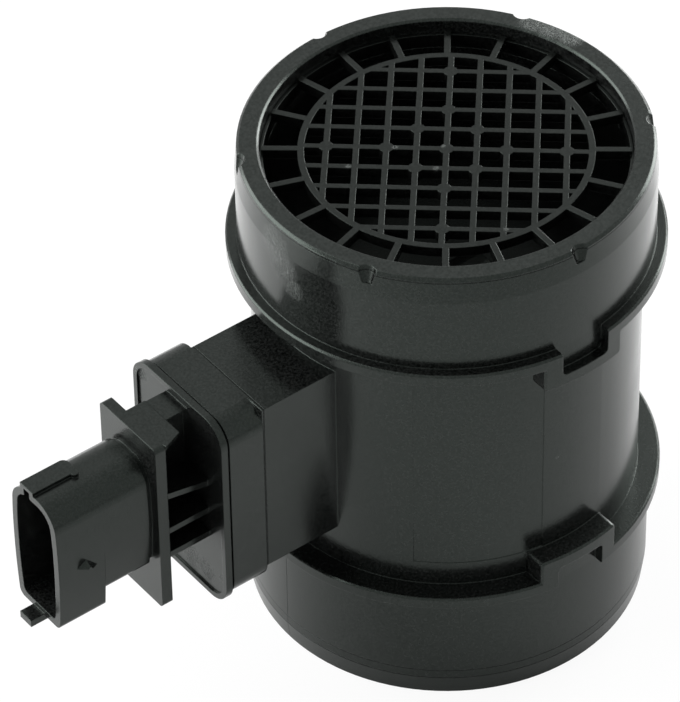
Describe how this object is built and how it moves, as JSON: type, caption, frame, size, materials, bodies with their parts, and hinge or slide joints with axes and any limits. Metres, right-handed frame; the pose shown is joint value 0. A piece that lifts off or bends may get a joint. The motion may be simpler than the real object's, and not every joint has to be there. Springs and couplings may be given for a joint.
{
  "type": "mass airflow sensor",
  "caption": "Round air-metering tube with hose spigots and a flow-straightening grid; a plug-in sensor blade enters through a side boss and ends in a keyed electrical header.",
  "frame": {"origin": "centre of the outlet mouth, on the plane the tube stands on", "axes": "+Z along the duct from outlet to inlet, +X away from the plug-in sensor and its connector, assembly key towards -Y"},
  "size_m": [0.1437, 0.0856, 0.1102],
  "materials": {
    "housing_plastic": "moulded, glass-filled, fine matte grain",
    "grid_plastic": "moulded, matte",
    "sensor_plastic": "moulded, satin matte",
    "cover_plastic": "moulded, satin matte",
    "seal_rubber": "moulded silicone rubber",
    "plate_metal": "rolled sheet",
    "board_ceramic": "fired alumina",
    "chip_plastic": "moulded epoxy",
    "capacitor_ceramic": "fired ceramic",
    "wire_metal": "drawn wire",
    "carrier_plastic": "moulded, satin matte",
    "element_glass": "polished silicon with a glassy film",
    "terminal_metal": "tinned",
    "bead_glass": "glass bead"
  },
  "bodies": {
    "root": {"tube_housing": "housing_plastic", "inlet_grid": "grid_plastic", "sensor_body": "sensor_plastic", "electronics_cover": "cover_plastic", "bypass_cover": "cover_plastic", "seal_ring": "seal_rubber", "base_plate": "plate_metal", "circuit_board": "board_ceramic", "control_chip": "chip_plastic", "chip_capacitors": "capacitor_ceramic", "chip_resistors": "chip_plastic", "bond_wires": "wire_metal", "element_carrier": "carrier_plastic", "sensor_element": "element_glass", "terminal_1": "terminal_metal", "terminal_2": "terminal_metal", "terminal_3": "terminal_metal", "terminal_4": "terminal_metal", "bead_leads": "wire_metal", "temperature_bead": "bead_glass"}
  },
  "joints": []
}
